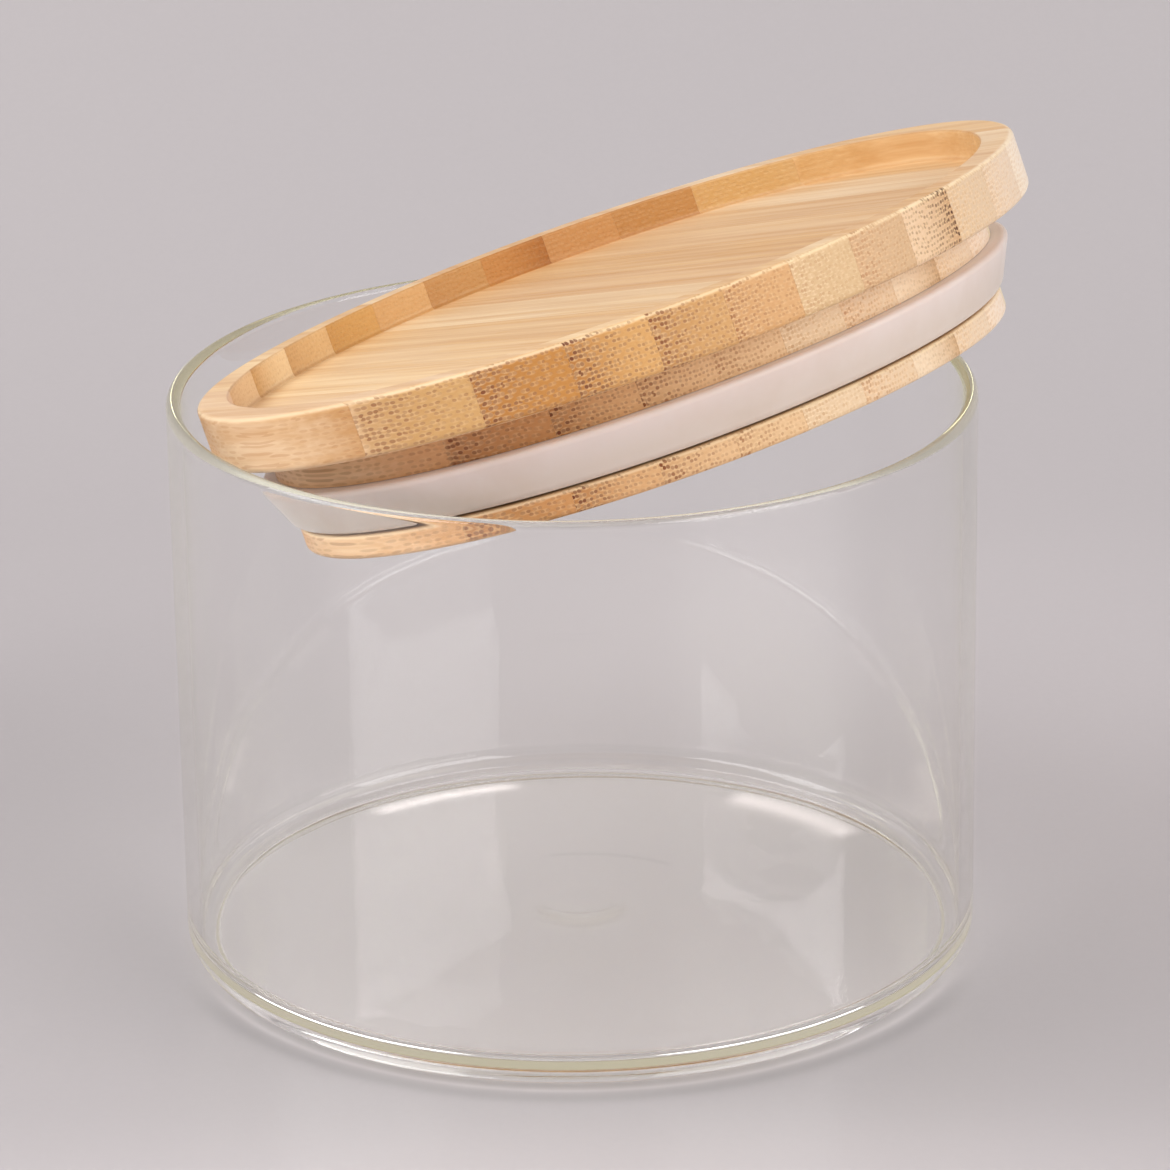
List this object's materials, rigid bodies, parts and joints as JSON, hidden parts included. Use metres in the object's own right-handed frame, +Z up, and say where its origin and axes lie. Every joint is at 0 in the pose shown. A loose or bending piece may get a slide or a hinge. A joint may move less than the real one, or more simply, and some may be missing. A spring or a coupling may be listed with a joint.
{
  "type": "glass storage jar",
  "caption": "Round straight-sided clear glass jar whose turned bamboo plug lid, with a silicone ring and a shallow tray on top, rests at a slant in the mouth and lifts out.",
  "frame": {"origin": "middle of the jar's flat foot, on the surface that it stands on", "axes": "+Z up the jar's axis; -Y faces the viewer of the picture; the lid's raised side points 26.7 degrees from +X towards -Y"},
  "size_m": [0.1057, 0.1047, 0.106],
  "materials": {
    "glass": "clear, polished",
    "silicone": "cloudy, satin",
    "bamboo_01": "fine turned and oiled, grain along the strip",
    "bamboo_02": "fine turned and oiled, grain along the strip",
    "bamboo_03": "fine turned and oiled, grain along the strip",
    "bamboo_04": "fine turned and oiled, grain along the strip",
    "bamboo_05": "fine turned and oiled, grain along the strip",
    "bamboo_06": "fine turned and oiled, grain along the strip",
    "bamboo_07": "fine turned and oiled, grain along the strip",
    "bamboo_08": "fine turned and oiled, grain along the strip",
    "bamboo_09": "fine turned and oiled, grain along the strip",
    "bamboo_10": "fine turned and oiled, grain along the strip",
    "bamboo_11": "fine turned and oiled, grain along the strip",
    "bamboo_12": "fine turned and oiled, grain along the strip",
    "bamboo_13": "fine turned and oiled, grain along the strip"
  },
  "bodies": {
    "jar": {"glass_jar": "glass"},
    "lid": {"silicone_gasket": "silicone", "lid_strip_01": "bamboo_01", "lid_strip_02": "bamboo_02", "lid_strip_03": "bamboo_03", "lid_strip_04": "bamboo_04", "lid_strip_05": "bamboo_05", "lid_strip_06": "bamboo_06", "lid_strip_07": "bamboo_07", "lid_strip_08": "bamboo_08", "lid_strip_09": "bamboo_09", "lid_strip_10": "bamboo_10", "lid_strip_11": "bamboo_11", "lid_strip_12": "bamboo_12", "lid_strip_13": "bamboo_13", "lid_strip_13_lip": "bamboo_13"}
  },
  "joints": [
    {"name": "lid_lift", "type": "slide", "parent": "jar", "child": "lid", "axis": [0, 0, 1], "range_m": [0, 0.04]}
  ]
}
